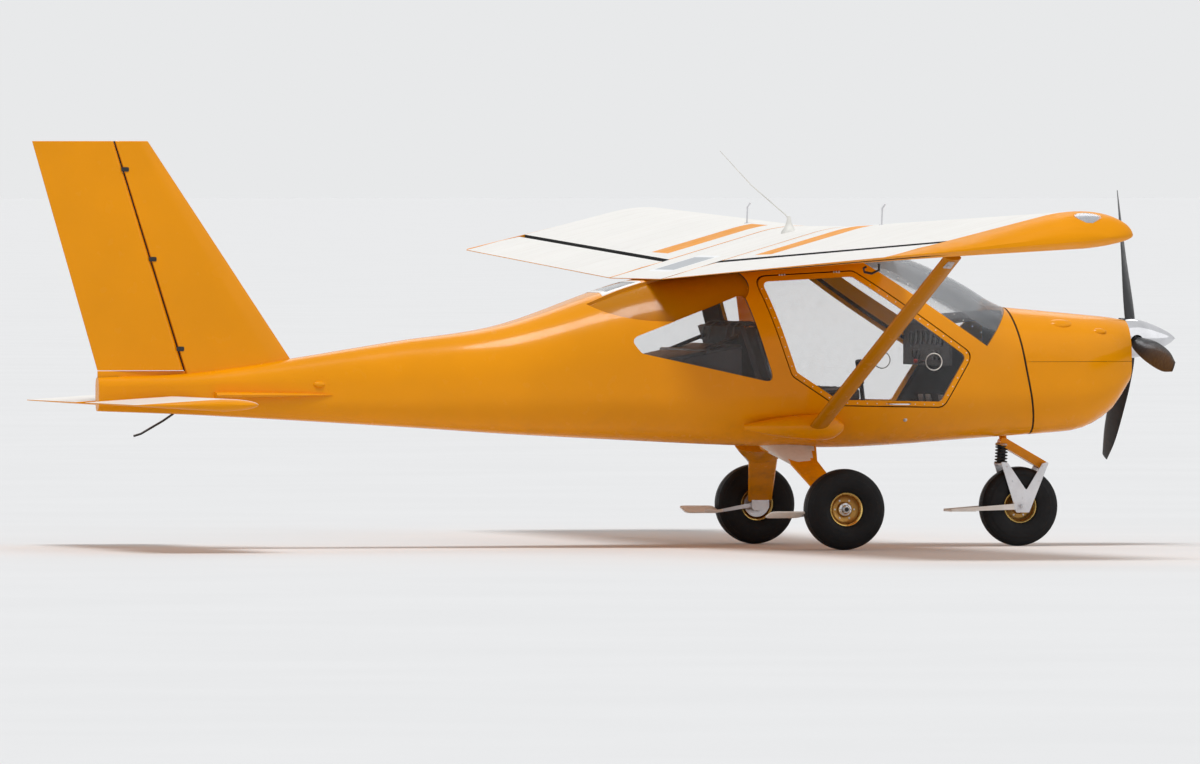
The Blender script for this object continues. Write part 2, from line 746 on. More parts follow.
def ramp(tree, value, low, high, to_low=0.0, to_high=1.0):
    """The value carried from one range to another, and held at its ends."""
    return node(
        tree, "ShaderNodeMapRange",
        {"Value": value, "From Min": low, "From Max": high, "To Min": to_low, "To Max": to_high},
    ).outputs["Result"]


def mixed(tree, share, first, second):
    first, second = (
        colour if hasattr(colour, "is_output") else (*colour, 1)[:4] for colour in (first, second))
    return node(tree, "ShaderNodeMix", {0: share, 6: first, 7: second}, data_type="RGBA").outputs[2]


def maths(tree, operation, first, second=0.0):
    return node(tree, "ShaderNodeMath", {0: first, 1: second}, operation=operation).outputs[0]


def product(tree, first, second):
    return maths(tree, "MULTIPLY", first, second)


def between(tree, value, low, high, soft):
    """One where the value lies between two others, and nought outside, over a soft edge."""
    return product(tree, ramp(tree, value, low - soft, low + soft), ramp(tree, value, high + soft, high - soft))


def bumped(tree, surface, height, strength, distance=0.001):
    made = node(tree, "ShaderNodeBump", {"Height": height, "Strength": strength, "Distance": distance})
    feed(surface, "Normal", made.outputs["Normal"])


def worn(tree, surface, scale, detail, smooth, rough):
    """Roughness that wanders between two values."""
    feed(surface, "Roughness", ramp(tree, noise(tree, scale, detail), 0.3, 0.7, smooth, rough))


def varied(tree, colour, amount, scale, detail=4.0):
    """The colour with soft blotches, lighter and darker by the amount."""
    dark = tuple(value * (1 - amount) for value in colour)
    light = tuple(min(1, value * (1 + amount)) for value in colour)
    return mixed(tree, ramp(tree, noise(tree, scale, detail), 0.35, 0.65), dark, light)


def paint(name, colour, rough=0.22, grime=0.35):
    """Gloss paint under a clear coat: soft blotches, a faint ripple, and road dirt low down."""
    material, tree, surface = shader(
        name, colour, rough, Coat_Weight=0.15, Coat_Roughness=0.05, Specular_IOR_Level=0.12)
    low = ramp(tree, apart(tree, position(tree))["Z"], 0.75, 0.45)
    dirt = product(tree, low, ramp(tree, noise(tree, 9, 8, rough=0.7), 0.45, 0.75, 0, grime))
    feed(surface, "Base Color", mixed(tree, dirt, varied(tree, colour, 0.05, 1.3), (0.10, 0.07, 0.04)))
    worn(tree, surface, 14, 5, rough - 0.05, rough + 0.07)
    bumped(tree, surface, noise(tree, 260, 2), 0.03)
    return material


def wing_finish(name, top, under, tip, bands, seams):
    """White tops with orange bands, ends and dark seams, over an orange underside."""
    material, tree, surface = shader(name, top, 0.5, Specular_IOR_Level=0.12)
    at = apart(tree, position(tree))
    upward = apart(tree, node(tree, "ShaderNodeNewGeometry").outputs["Normal"])["Z"]
    out = maths(tree, "ABSOLUTE", at["Y"])
    white = product(tree, ramp(tree, upward, 0.30, 0.34), ramp(tree, out, tip + 0.002, tip - 0.002))
    for low, high, rear, front in bands:
        inside = product(tree, between(tree, at["Y"], low, high, 0.002),
                         between(tree, at["X"], rear, front, 0.002))
        white = product(tree, white, maths(tree, "SUBTRACT", 1.0, inside))

    # On the white: rib lines, streaks along the flow, and the roof panel with its rim
    light = varied(tree, top, 0.015, 1.6)
    to_rib = maths(tree, "PINGPONG", at["Y"], RIB_STEP / 2)
    light = mixed(tree, ramp(tree, to_rib, 0.0045, 0.002, 0, 0.3), light, (0.50, 0.40, 0.32))
    streaks = noise(tree, 2, 3, drawn_out(tree, (0.5, 9, 1)))
    light = mixed(tree, ramp(tree, streaks, 0.5, 0.75, 0, 0.10), light, (0.62, 0.50, 0.42))
    rear, front, half = ROOF_PANEL
    for inset, tone in ((0, (0.90, 0.90, 0.90)), (0.030, (0.46, 0.48, 0.50))):
        inside = product(tree, ramp(tree, out, half - inset + 0.001, half - inset - 0.001),
                         between(tree, at["X"], rear + inset, front - inset, 0.001))
        light = mixed(tree, inside, light, tone)

    base = mixed(tree, white, varied(tree, under, 0.05, 1.3), light)
    for seam in seams:
        away = maths(tree, "ABSOLUTE", maths(tree, "SUBTRACT", at["Y"], seam))
        base = mixed(tree, ramp(tree, away, 0.004, 0.0025), base, (0.05, 0.035, 0.02))
    feed(surface, "Base Color", base)
    worn(tree, surface, 11, 2, 0.42, 0.55)
    bumped(tree, surface, maths(tree, "POWER", ramp(tree, to_rib, 0, RIB_STEP / 2), 3.0), 0.2, 0.003)
    return material


def metal(name, colour, rough, grain=(1, 1, 12), scale=60, bump=0.05):
    """Bare metal with drawn or turned grain and smudges."""
    material, tree, surface = shader(name, colour, rough, Metallic=1.0)
    lines = noise(tree, scale, 4, drawn_out(tree, grain))
    feed(surface, "Base Color", varied(tree, colour, 0.10, 7))
    feed(surface, "Roughness", ramp(tree, lines, 0.3, 0.7, rough * 0.75, rough * 1.35))
    bumped(tree, surface, lines, bump, 0.0005)
    return material


def half_painted(name, colour, white, rear, low):
    """Matt bare alloy, painted white behind and below a place."""
    material = metal(name, colour, 0.42, (1, 1, 1), 90, 0.04)
    tree = material.node_tree
    surface = tree.nodes["Principled BSDF"]
    at = apart(tree, position(tree))
    coat = product(tree, ramp(tree, at["X"], rear + 0.001, rear - 0.001),
                   ramp(tree, at["Z"], low + 0.001, low - 0.001))
    coat = product(tree, coat, ramp(tree, noise(tree, 45, 8, rough=0.7), 0.72, 0.66))
    bare = surface.inputs["Base Color"].links[0].from_socket
    feed(surface, "Base Color", mixed(tree, coat, bare, varied(tree, white, 0.05, 20)))
    feed(surface, "Metallic", maths(tree, "SUBTRACT", 1.0, coat))
    return material


def plastic(name, colour, rough=0.5, grain=900, bump=0.15, amount=0.12):
    """Moulded plastic or powder coat with a fine pebbled grain."""
    material, tree, surface = shader(name, colour, rough, Specular_IOR_Level=0.4)
    feed(surface, "Base Color", varied(tree, colour, amount, 12))
    worn(tree, surface, 40, 5, rough - 0.08, rough + 0.1)
    pebbles = node(tree, "ShaderNodeTexVoronoi", {"Vector": position(tree), "Scale": grain})
    bumped(tree, surface, pebbles.outputs["Distance"], bump, 0.0004)
    return material


def rubber(name):
    """Tyre rubber, patchily greyed with dust."""
    colour = (0.008, 0.008, 0.009)
    material, tree, surface = shader(name, colour, 0.5, Specular_IOR_Level=0.18)
    dust = ramp(tree, noise(tree, 26, 9, rough=0.72), 0.45, 0.8, 0, 0.10)
    feed(surface, "Base Color", mixed(tree, dust, varied(tree, colour, 0.2, 9), (0.050, 0.046, 0.042)))
    worn(tree, surface, 60, 5, 0.42, 0.62)
    bumped(tree, surface, noise(tree, 500, 4), 0.3, 0.0006)
    return material


def cloth(name, colour):
    """Woven seat cloth: crossed threads with a soft sheen."""
    material, tree, surface = shader(name, colour, 0.85, Sheen_Weight=0.3, Sheen_Roughness=0.5)
    where = position(tree)
    weave = [
        node(tree, "ShaderNodeTexWave", {"Vector": where, "Scale": 180, "Distortion": 0.6},
             bands_direction=way).outputs["Fac"]
        for way in ("X", "Y", "Z")
    ]
    threads = maths(tree, "ADD", product(tree, weave[0], weave[1]), product(tree, weave[1], weave[2]))
    dark = tuple(value * 0.55 for value in colour)
    feed(surface, "Base Color",
         mixed(tree, ramp(tree, threads, 0.1, 1.0), dark, varied(tree, colour, 0.15, 15)))
    bumped(tree, surface, threads, 0.4, 0.0008)
    return material


def pane(name, tint, clear, slant):
    """Thin clear plastic: see-through face on, and reflecting at a slant, with faint wipe marks."""
    material, tree, surface = shader(name, tint, 0.04, Coat_Weight=1.0, Coat_Roughness=0.02)
    fresnel = node(tree, "ShaderNodeFresnel", {"IOR": 1.5}).outputs["Fac"]
    marks = ramp(tree, noise(tree, 24, 9, rough=0.75), 0.5, 0.9, 0, 0.05)
    feed(surface, "Alpha", maths(tree, "ADD", ramp(tree, fresnel, 0.04, 0.8, clear, slant), marks))
    feed(surface, "Roughness", ramp(tree, noise(tree, 18, 6), 0.4, 0.8, 0.03, 0.10))
    return material


def floor_finish():
    """The pale matt floor."""
    colour = (0.80, 0.80, 0.80)
    material, tree, surface = shader("pale floor", colour, 1.0, Specular_IOR_Level=0.0)
    feed(surface, "Base Color", varied(tree, colour, 0.01, 0.5))
    return material


class Finishes(dict):
    """The aircraft's materials by name, made when first asked for."""

    def __missing__(self, name):
        colours = bpy.context.scene.ultralight_paint
        made = {
            "orange": lambda: paint("orange gloss", colours.orange),
            "wing": lambda: wing_finish(
                "wing cloth", colours.white, colours.orange, PANEL_END_Y, WING_BANDS, WING_SEAMS),
            "tailplane": lambda: wing_finish(
                "tailplane paint", colours.white, colours.orange, TAIL_TIP_Y - 0.06, [], []),
            "shade": lambda: paint("orange shaded", tuple(0.62 * value for value in colours.orange)),
            "white": lambda: paint("white gloss", colours.white),
            "glass": lambda: pane("clear pane", (0.34, 0.36, 0.38), 0.07, 0.60),
            "smoked": lambda: pane("grey pane", (0.30, 0.31, 0.33), 0.45, 0.8),
            "rubber": lambda: rubber("tyre rubber"),
            "gold": lambda: metal("gold rim", linear(236, 200, 120), 0.22, (1, 1, 1), 90),
            "steel": lambda: metal("brushed steel", ALLOY, 0.32),
            "polished": lambda: metal("polished alloy", ALLOY, 0.10, (1, 6, 6), 40, 0.02),
            "guard": lambda: half_painted("wheel fitting", ALLOY, colours.white, 0.862, 1.0),
            "fork": lambda: half_painted("fork", (0.60, 0.60, 0.62), colours.white, 2.250, 0.242),
            "bronze": lambda: metal("rim dish", linear(168, 128, 70), 0.34, (1, 1, 1), 90),
            "engine": lambda: metal("engine metal", (0.16, 0.16, 0.17), 0.5, (1, 1, 1), 50),
            "black": lambda: plastic("black satin", (0.018, 0.018, 0.020), 0.38, 500, 0.08),
            "cabin": lambda: plastic("cabin trim", (0.045, 0.045, 0.050), 0.6),
            "liner": lambda: plastic("cabin liner", (0.028, 0.030, 0.036), 0.7),
            "deck": lambda: plastic("glareshield", (0.13, 0.13, 0.135), 0.8),
            "seat": lambda: cloth("seat cloth", (0.075, 0.078, 0.085)),
            "webbing": lambda: cloth("belt webbing", (0.05, 0.055, 0.07)),
            "seam": lambda: plastic("seam sealer", (0.012, 0.011, 0.010), 0.8),
            "dial": lambda: plastic("dial face", (0.012, 0.012, 0.014), 0.35, 500, 0.03),
            "mark": lambda: plastic("white marking", (0.75, 0.74, 0.70), 0.5, 500, 0.03),
            "lamp": lambda: pane("lamp lens", (0.75, 0.77, 0.80), 0.30, 0.7),
            "red": lambda: plastic("red grip", (0.45, 0.02, 0.015), 0.4),
            "floor": floor_finish,
        }[name]()
        self[name] = made
        return made


finish = Finishes()


def dress(name, *nodes):
    """Gives carried-over frame nodes a finish."""
    for key in nodes:
        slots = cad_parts[key].data.materials
        for index in range(len(slots)):
            slots[index] = finish[name]


def both(*names):
    """The names with each side added."""
    return [f"{name}_{side}" for name in names for side, _ in SIDES]


class UltralightPaint(bpy.types.PropertyGroup):
    orange: bpy.props.FloatVectorProperty(
        name="Body", description="Gloss paint of the fuselage, tail and wing undersides",
        subtype="COLOR", size=3, min=0, max=1, default=linear(236, 151, 2))
    white: bpy.props.FloatVectorProperty(
        name="Wing top", description="Paint of the wing and flaperon tops",
        subtype="COLOR", size=3, min=0, max=1, default=(0.86, 0.84, 0.80))


class UltralightStage(bpy.types.PropertyGroup):
    distance: bpy.props.FloatProperty(
        name="Camera distance", description="From the camera to the aircraft",
        default=115.0, min=5.0, unit="LENGTH")
    view_width: bpy.props.FloatProperty(
        name="View width", description="How wide the picture is at the aircraft",
        default=6.462, min=1.0, unit="LENGTH")


def firewall_block(ahead, shift=0.0):
    """The space ahead of or behind the firewall's slope."""
    top, bottom = (Vector((x, 0, z)) for x, z in (FIREWALL_TOP, FIREWALL_BOTTOM))
    down = (bottom - top).normalized()
    forward = Vector((-down.z, 0, down.x))
    reach = 4.0
    origin = top + forward * shift - down * reach / 2 - Vector((0, reach / 2, 0))
    return slab(oblong(0, 0, reach, reach), origin, down, PORT, reach if ahead else -reach)


class ULTRALIGHT_OT_fuselage(bpy.types.Operator):
    """Skins the cabin and tail cone, and glazes the windshield, rear windows and skylight"""
    bl_idname = "ultralight.fuselage"
    bl_label = "Fuselage"

    def execute(self, context):
        solid = carved(hull_mesh(HULL, 0, HULL[0][0]), [firewall_block(True, -0.002)])
        wall = carved(solid, [hull_shape(HULL, CABIN_WALL, CABIN_REAR)])
        rear = through(rounded(REAR_WINDOW, REAR_WINDOW_CORNER))
        sky = upright(SKYLIGHT, SKYLIGHT_WIDTH)
        front = through(WINDSHIELD)
        skin = carved(wall, [through(rounded(grown(DOOR, 0.006), DOOR_CORNER)), front, rear, sky])
        bowl = bow(RECESS_AT, *RECESS_SIZE, 0, 355, 71)
        near, far = RECESS_SIDE
        for start in (far, -near):
            scoop = plain(slab(bowl, (0, start, 0), FORWARD, UP, far - near))
            skin = carved(skin, [carved(scoop, [hull_shape(HULL, RECESS_DEPTH, -1.2)])])

        def in_cabin(at, normal):
            """Faces that look into the cabin, below the orange door posts."""
            return normal.y * at.y + normal.z * (at.z - 0.95) < -0.02 and (at.z < 1.08 or at.x < 0.88)

        def in_recess(at, _):
            """Faces on the bottom of the recess."""
            across, up = ((at[i] - c) / r for i, c, r in zip((0, 2), RECESS_AT, RECESS_SIZE))
            sunk = skin_point(at.x, at.z)[0].y - abs(at.y)
            return across**2 + up**2 < 1.02 and abs(at.y) > 0.2 and sunk > RECESS_DEPTH / 2

        place(skin, "fuselage_skin", "orange", "airframe", ("cabin_shell", "tail_cone"),
              zones=(("shade", in_recess), ("liner", in_cabin)))
        seal = hull_mesh(HULL, CABIN_WALL + 0.0005, -0.4)
        seal = carved(seal, [hull_shape(HULL, CABIN_WALL + 0.005, -0.42)])
        seal = carved(seal, [through(rounded(grown(DOOR, 0.010), DOOR_CORNER))], "INTERSECT")
        seal = carved(seal, [through(rounded(grown(DOOR, -0.008), DOOR_CORNER * 0.8))])
        place(seal, "door_seals", "seam", "airframe")

        shell = carved(solid, [hull_shape(HULL, GLASS, CABIN_REAR)])
        for name, cutter, look, nodes in (
            ("windshield", front, "glass", ("windshield",)),
            ("skylight_pane", sky, "smoked", ("skylight",)),
            ("rear_windows", rear, "glass", both("rear_window")),
        ):
            place(carved(shell, [cutter], "INTERSECT"), name, look, "airframe", nodes)

        light = through(rounded(grown(DOOR, -DOOR_FRAME), DOOR_CORNER - DOOR_FRAME))
        doors = carved(carved(wall, [through(rounded(DOOR, DOOR_CORNER))], "INTERSECT"), [light])
        panes = carved(shell, [light], "INTERSECT")
        for side, sign in SIDES:
            half = slab(oblong(-1, 0, 4, 3), (0, 0, 0), FORWARD, UP, -2 * sign)
            for mesh, name, look, slot in ((doors, "door_frame", "orange", "orange_paint"),
                                           (panes, "door_glass", "glass", "clear_glass")):
                place(carved(mesh, [half], "INTERSECT"), f"{name}_skin_{side}", look,
                      f"door_{side}", (f"{name}_{side}",))
        return {"FINISHED"}


class ULTRALIGHT_OT_cowling(bpy.types.Operator):
    """Builds the upper and lower engine cowls with their intakes"""
    bl_idname = "ultralight.cowling"
    bl_label = "Cowling"

    def execute(self, context):
        face = COWL[-1][0]
        depth = 0.06
        holes = [lathe([(-depth, 0.072), (depth, 0.072)], (face, 0, PROP_Z), FORWARD, 40)]
        for y, z, wide, high in ((-0.165, 1.110, 0.055, 0.032), (0.165, 1.110, 0.055, 0.032),
                                 (0, 0.935, 0.125, 0.035)):
            hole = oblong(-wide, -high, wide, high, 0.03)
            holes.append(slab(hole, (face - depth, y, z), PORT, UP, 2 * depth))
        core = lofted([section(row, COWL_WALL) for row in smoothed(COWL) if row[0] < face - COWL_WALL])
        shell = carved(hull_mesh(COWL, 0, COWL[0][0]), [core, *holes, firewall_block(False, 0.007)])
        for name, low, high in (("upper_cowl", COWL_SPLIT_Z + 0.001, 2.0),
                                ("lower_cowl", 0.0, COWL_SPLIT_Z - 0.001)):
            place(carved(shell, [upright(oblong(1, low, 4, high), 1)], "INTERSECT"), name + "_skin", "orange",
                  "airframe", (name,))
        return {"FINISHED"}


class ULTRALIGHT_OT_wing(bpy.types.Operator):
    """Builds the wing, its tip caps, the flaperons and what stands on the wing"""
    bl_idname = "ultralight.wing"
    bl_label = "Wing"

    def execute(self, context):
        centre = [[Vector((p.x, y, p.z)) for p in wing_ring(ROOT_Y, 1.0)] for y in evenly(-ROOT_Y, ROOT_Y, 10)]
        add("wing_centre_skin", [(lofted(centre), "wing")], "airframe", "wing_paint",
            replaces=("wing_centre",))

        # The panels, dark on the square face ahead of the flaperons, and the caps on their ends
        rings = [wing_ring(y, PANEL_REAR) for y in evenly(ROOT_Y, PANEL_END_Y, 12)]
        rear, rest = picked(lofted(rings), len(rings[0]), len(rings[0]) - 5, len(rings[0]) - 4)
        twins("wing_skin", [(rest, "wing"), (rear, "seam")], "airframe", "wing_paint", ("wing_{}",))
        rings = [wing_ring(blend(PANEL_END_Y, SPAN / 2, share), 1.0, chord_share, thick_share,
                           CHORD * (1 - chord_share) * 0.45)
                 for share, chord_share, thick_share in smoothed(TIP_SHAPE, 0.05)]
        twins("wing_tip_skin", [(lofted(rings), "wing")], "airframe", "tip_paint", ("wing_tip_{}",))

        # The almond lamps on the tips, each a plate and a lens laid over nine of the tip's rings
        for name, look, long, proud in (("tip_lens", "lamp", 0.072, 0.0035),
                                        ("tip_lamp", "polished", 0.064, 0.0015)):
            patches = []
            for k, ring in enumerate(rings[8:17]):
                half = long * sin(pi * (k + 0.7) / 9.4)
                centre = min(LAMP_X, max(point.x for point in ring) - half - 0.006)
                patch = [highest(ring, x) for x in evenly(centre - half, centre + half, 8)]
                middle = sum(ring, Vector()) / len(ring)
                out = [(point - middle).normalized() + Vector((0, 0.3, 0)) for point in patch]
                patches.append([p + o * proud for p, o in zip(patch, out)]
                               + [p - o * 0.004 for p, o in zip(reversed(patch), reversed(out))])
            twins(name, [(lofted(patches), look)], "airframe", "polished_metal")

        # The flaperons, dark on the nose that turns inside the panel
        outline = bow([share * CHORD for share in FLAP_HINGE], FLAP_NOSE, FLAP_NOSE, 90, 270, 10)
        outline += [(0.88 * CHORD, -0.006), (CHORD, -TRAILING_EDGE / 2), (CHORD, TRAILING_EDGE / 2),
                    (0.94 * CHORD, 0.0142), (0.86 * CHORD, 0.0335)]
        rings = [[wing_at(y, along, up) for along, up in outline] for y in evenly(*FLAP_ENDS, 12)]
        nose, rest = picked(lofted(rings), len(rings[0]), 0, 8)
        twins("flaperon_skin", [(rest, "wing"), (nose, "seam")], "flaperon_{}", "wing_paint",
              ("flaperon_{}",))

        # Tank vents, the whip antenna on its cone, and the catches that hold the open doors
        x, y = TANK_VENT
        z = wing_top(x, y)
        pipe = sweep([(x, y, z - 0.01), (x + 0.004, y, z + 0.09), (x + 0.020, y, z + 0.112)], 0.0045, 10)
        cap = lathe([(-0.004, 0.016), (0.004, 0.014), (0.007, 0)], (x, y, z), UP, 16)
        twins("tank_vent", [(joined([pipe, cap]), "steel")], "airframe", "bare_steel")
        x, z = ANTENNA_X, wing_top(ANTENNA_X, 0)
        cone = lathe([(-0.03, 0.046), (0.002, 0.042), (0.022, 0.028), (0.055, 0.014), (0.086, 0.008),
                      (0.090, 0)], (x, 0, z), UP, 32)
        whip = sweep([(x, 0, z + 0.07), (x - 0.02, 0, z + 0.095), (0.800, 0, 1.953), (0.625, 0, 2.138)],
                     0.0035, 10, (1, 1, 0.8, 0.5))
        add("antenna_whip", [(cone, "mark"), (whip, "mark")], "airframe", "black_metal",
            replaces=("antenna",))
        hook = sweep([(1.19, 1.2, 1.535), (1.19, 1.2, 1.500), (1.15, 1.2, 1.482), (1.11, 1.2, 1.490),
                      (1.105, 1.2, 1.510), (1.12, 1.2, 1.518)], 0.007, 10)
        twins("door_catch", [(hook, "black")], "airframe", "black_metal")
        return {"FINISHED"}


class ULTRALIGHT_OT_tail(bpy.types.Operator):
    """Builds the fin, the rudder and the all-moving tailplane"""
    bl_idname = "ultralight.tail"
    bl_label = "Tail"

    def execute(self, context):
        def at_height(line, z):
            """The line's x at a height, and how far along it that is."""
            share = (z - line[0][1]) / (line[1][1] - line[0][1])
            return on_line(line, share)[0], share

        rings = []
        for z in evenly(FIN_FOOT, FIN_TOP, 14):
            nose = at_height(FIN_EDGE, z)[0]
            hinge, share = at_height(RUDDER_HINGE, z)
            rear_half = blend(*RUDDER_NOSE, share)
            rear = hinge + (rear_half + 0.006) * 1.05
            half = blend(*FIN_HALF, share)
            middle = blend(nose, rear, 0.4)
            ring = bow((middle, 0), nose - middle, half, -90, 90, 18)
            waist = (blend(middle, rear, 0.5), blend(half, rear_half, 0.45))
            ring += [waist, (rear, rear_half), (rear, -rear_half), (waist[0], -waist[1])]
            rings.append([Vector((x, y, z)) for x, y in ring])
        add("fin_skin", [(lofted(rings), "orange")], "airframe", "tip_paint", replaces=("fin",), bevel=0.004)

        rings = []
        for z in evenly(RUDDER_BOTTOM, FIN_TOP, 12):
            hinge, share = at_height(RUDDER_HINGE, z)
            nose = blend(*RUDDER_NOSE, share)
            rear = at_height(RUDDER_REAR, z)[0]
            ring = bow((hinge, 0), nose * 1.04, nose, -90, 90, 12)
            ring += [(blend(hinge, rear, 0.6), nose * 0.55), (rear, TRAILING_EDGE), (rear, -TRAILING_EDGE),
                     (blend(hinge, rear, 0.6), -nose * 0.55)]
            rings.append([Vector((x, y, z)) for x, y in ring])
        add("rudder_skin", [(lofted(rings), "orange")], "rudder", "tip_paint", replaces=("rudder",),
            bevel=0.003)

        def tail_ring(y, chord_share=1.0, thick_share=1.0):
            chord, half = TAIL_CHORD * chord_share, TAIL_HALF * thick_share
            nose = TAIL_EDGE_X - TAIL_CHORD * (1 - chord_share) * 0.5
            outline = bow((0.3 * chord, 0), 0.3 * chord, half, 90, 270, 20)
            outline += [(0.65 * chord, -half * 0.55), (chord, -TRAILING_EDGE / 2), (chord, TRAILING_EDGE / 2),
                        (0.65 * chord, half * 0.55)]
            return [Vector((nose - across, y, TAIL_Z + up)) for across, up in outline]

        rings = [tail_ring(y) for y in evenly(TAIL_ROOT_Y, TAIL_TIP_Y - TAIL_CAP, 6)]
        rings += [tail_ring(TAIL_TIP_Y - TAIL_CAP * (1 - share), chord_share, thick_share)
                  for share, chord_share, thick_share in smoothed(TIP_SHAPE, 0.1)[1:]]
        half_tail = lofted(rings)
        pivot = (TAIL_EDGE_X - 0.27 * TAIL_CHORD, 0, TAIL_Z)
        tube = lathe([(-0.3, 0.025), (0.3, 0.025)], pivot, PORT, 32)
        add("tailplane_skin", [(half_tail, "tailplane"), (flipped(half_tail), "tailplane"),
                               (tube, "steel")], "stabilator", "tip_paint", replaces=("stabilator",))

        # Hinge brackets and a dark strip in the rudder's gap, and the cone's ridge below the rudder
        brackets = []
        for share in (0.12, 0.5, 0.88):
            x, z = on_line(RUDDER_HINGE, share)
            nose = blend(*RUDDER_NOSE, share)
            for y in (-nose - 0.004, nose + 0.001):
                brackets.append(slab(oblong(-0.012, -0.012, 0.030, 0.012, 0.008), (x + nose + 0.004, y, z),
                                     FORWARD, UP, -0.003))
        add("rudder_brackets", [(joined(brackets), "black")], "airframe", "bare_steel", bevel=0.001)
        strip = []
        for (x, z), nose in zip(RUDDER_HINGE, RUDDER_NOSE):
            strip.append([(x + nose * 1.04 + 0.0015, z), (x + nose * 1.05 + 0.012, z)])
        strip = upright([*strip[0], *reversed(strip[1])], 0.004)
        add("rudder_gap_strip", [(strip, "seam")], "airframe", "black_metal")
        rows = [row for row in smoothed(HULL) if row[0] < RUDDER_HINGE[0][0] + 0.09]
        ridge = [(row[0] + 0.002, row[3] - 0.006) for row in rows]
        ridge += [(rows[-1][0], RUDDER_BOTTOM - 0.003), (rows[0][0] + 0.002, RUDDER_BOTTOM - 0.003)]
        add("tail_ridge", [(upright(ridge, 0.008), "orange")], "airframe", "tip_paint", bevel=0.003)

        # Tail skid, and strakes that lead along the cone to the tailplane
        skid = sweep([(-2.40, 0, 0.730), (-2.46, 0, 0.690), (-2.58, 0, 0.622), (-2.62, 0, 0.610)], 0.006, 10)
        add("tail_skid", [(skid, "black")], "airframe", "black_metal")
        strake = []
        for x, reach, half in ((-1.56, 0.004, 0.003), (-1.72, 0.030, 0.010), (-2.00, 0.060, 0.016),
                               (-2.20, 0.074, 0.018)):
            skin = skin_point(x, STRAKE_Z)[0].y
            strake.append([Vector((x, y, STRAKE_Z + z)) for y, z in (
                (skin - 0.02, -half), (skin + reach * 0.8, -half * 0.7), (skin + reach, 0),
                (skin + reach * 0.8, half * 0.7), (skin - 0.02, half))])
        twins("tail_strake", [(lofted(strake), "orange")], "airframe", "orange_paint", bevel=0.002)
        return {"FINISHED"}


class ULTRALIGHT_OT_struts(bpy.types.Operator):
    """Builds the lift struts with their foot fairings and fittings, and the main gear legs' cuffs"""
    bl_idname = "ultralight.struts"
    bl_label = "Struts and legs"

    def execute(self, context):
        foot, head = Vector(STRUT_FOOT), Vector(STRUT_TOP)
        line = (head - foot).normalized()
        across = (Vector(FORWARD) - line * line.x).normalized()
        other = line.cross(across)
        rings = [[point + across * u + other * v for u, v in oval(*STRUT_SIZE)]
                 for point in (foot, foot.lerp(head, 0.3), foot.lerp(head, 0.7), head + line * 0.03)]
        fairing = [[Vector((x, FOOT_AT[0] + u, FOOT_AT[1] + v)) for u, v in oval(wide, high)]
                   for x, high, wide in smoothed(FOOT_FAIRING, 0.03)]
        twins("strut_skin", [(lofted(rings), "shade"), (lofted(fairing), "orange")],
              "airframe", "orange_metal", ("strut_{}",), angle=50)
        fork = []
        for side in (-1, 1):
            plate = rounded([(-0.024, -0.050), (0.024, -0.050), (0.018, 0.020), (-0.018, 0.020)], 0.010)
            fork.append(slab(plate, head + other * (side * 0.020) - line * 0.01, across, line, 0.003 * side))
        fork.append(bolt(head + other * 0.023 - line * 0.04, other, 0.007, 0.006))
        fork.append(bolt(head - other * 0.023 - line * 0.04, -other, 0.007, 0.006))
        twins("strut_fork", [(joined(fork), "steel")], "airframe", "bare_steel")

        # The cuff that fairs each gear leg into the belly, white above and orange below
        root, end = Vector((0.936, 0.240, 0.566)), Vector((1.066, 0.826, 0.246))
        way = (end - root).normalized()
        flat = (Vector(FORWARD) - way * way.x).normalized()
        thick = way.cross(flat)
        cuff = lofted([
            [root.lerp(end, share) + flat * u + thick * v for u, v in oval(half, depth)]
            for share, half, depth in ((0.0, 0.165, 0.060), (0.10, 0.143, 0.042), (0.20, 0.116, 0.026),
                                       (0.30, 0.088, 0.0155), (0.335, 0.080, 0.0120))])
        # The orange half turns by one face from each ring to the next
        under, upper = picked(cuff, OVAL_STEPS, 0, OVAL_STEPS // 2 + 1)
        upper, ends = (upper[0], upper[1][:-2]), (cuff[0], cuff[1][-2:])
        twins("leg_cuff", [(upper, "white"), (under, "orange"), (ends, "orange")],
              "airframe", "wing_paint", angle=60)
        return {"FINISHED"}


